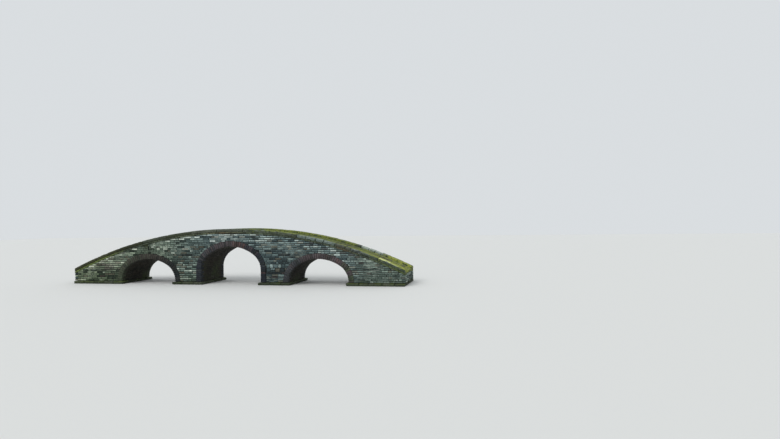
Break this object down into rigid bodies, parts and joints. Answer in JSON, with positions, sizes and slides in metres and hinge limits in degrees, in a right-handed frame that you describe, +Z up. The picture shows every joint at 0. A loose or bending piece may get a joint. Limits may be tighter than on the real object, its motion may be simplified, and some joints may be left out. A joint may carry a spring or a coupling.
{
  "type": "masonry moon bridge",
  "caption": "Humped masonry footbridge: brick arch barrels on low stone footings, coursed brick spandrel walls, a string course and a paved deck between kerbs of coping stones.",
  "frame": {"origin": "middle of the bridge's base, at the level of the water", "axes": "+X along the bridge to the right as seen from the front, +Y across it to the back, +Z up"},
  "size_m": [12.4, 1.88, 1.9649],
  "materials": {
    "wall_brick": "matte",
    "ring_brick": "matte",
    "string_brick": "matte",
    "coping_stone": "matte",
    "footing_stone": "matte",
    "deck_stone": "matte",
    "rubble_fill": "matte"
  },
  "bodies": {
    "root": {"left_arch_barrel": "ring_brick", "centre_arch_barrel": "ring_brick", "right_arch_barrel": "ring_brick", "left_abutment_footing": "footing_stone", "left_pier_footing": "footing_stone", "right_pier_footing": "footing_stone", "right_abutment_footing": "footing_stone", "front_left_pier_wall": "wall_brick", "front_right_pier_wall": "wall_brick", "back_left_pier_wall": "wall_brick", "back_right_pier_wall": "wall_brick", "left_abutment_walls": "wall_brick", "right_abutment_walls": "wall_brick", "rubble_core": "rubble_fill", "deck_paving": "deck_stone", "front_string_course": "string_brick", "front_coping_stone_01": "coping_stone", "front_coping_stone_02": "coping_stone", "front_coping_stone_03": "coping_stone", "front_coping_stone_04": "coping_stone", "front_coping_stone_05": "coping_stone", "front_coping_stone_06": "coping_stone", "front_coping_stone_07": "coping_stone", "front_coping_stone_08": "coping_stone", "front_coping_stone_09": "coping_stone", "front_coping_stone_10": "coping_stone", "front_coping_stone_11": "coping_stone", "front_coping_stone_12": "coping_stone", "front_coping_stone_13": "coping_stone", "back_string_course": "string_brick", "back_coping_stone_01": "coping_stone", "back_coping_stone_02": "coping_stone", "back_coping_stone_03": "coping_stone", "back_coping_stone_04": "coping_stone", "back_coping_stone_05": "coping_stone", "back_coping_stone_06": "coping_stone", "back_coping_stone_07": "coping_stone", "back_coping_stone_08": "coping_stone", "back_coping_stone_09": "coping_stone", "back_coping_stone_10": "coping_stone", "back_coping_stone_11": "coping_stone", "back_coping_stone_12": "coping_stone", "back_coping_stone_13": "coping_stone"}
  },
  "joints": []
}
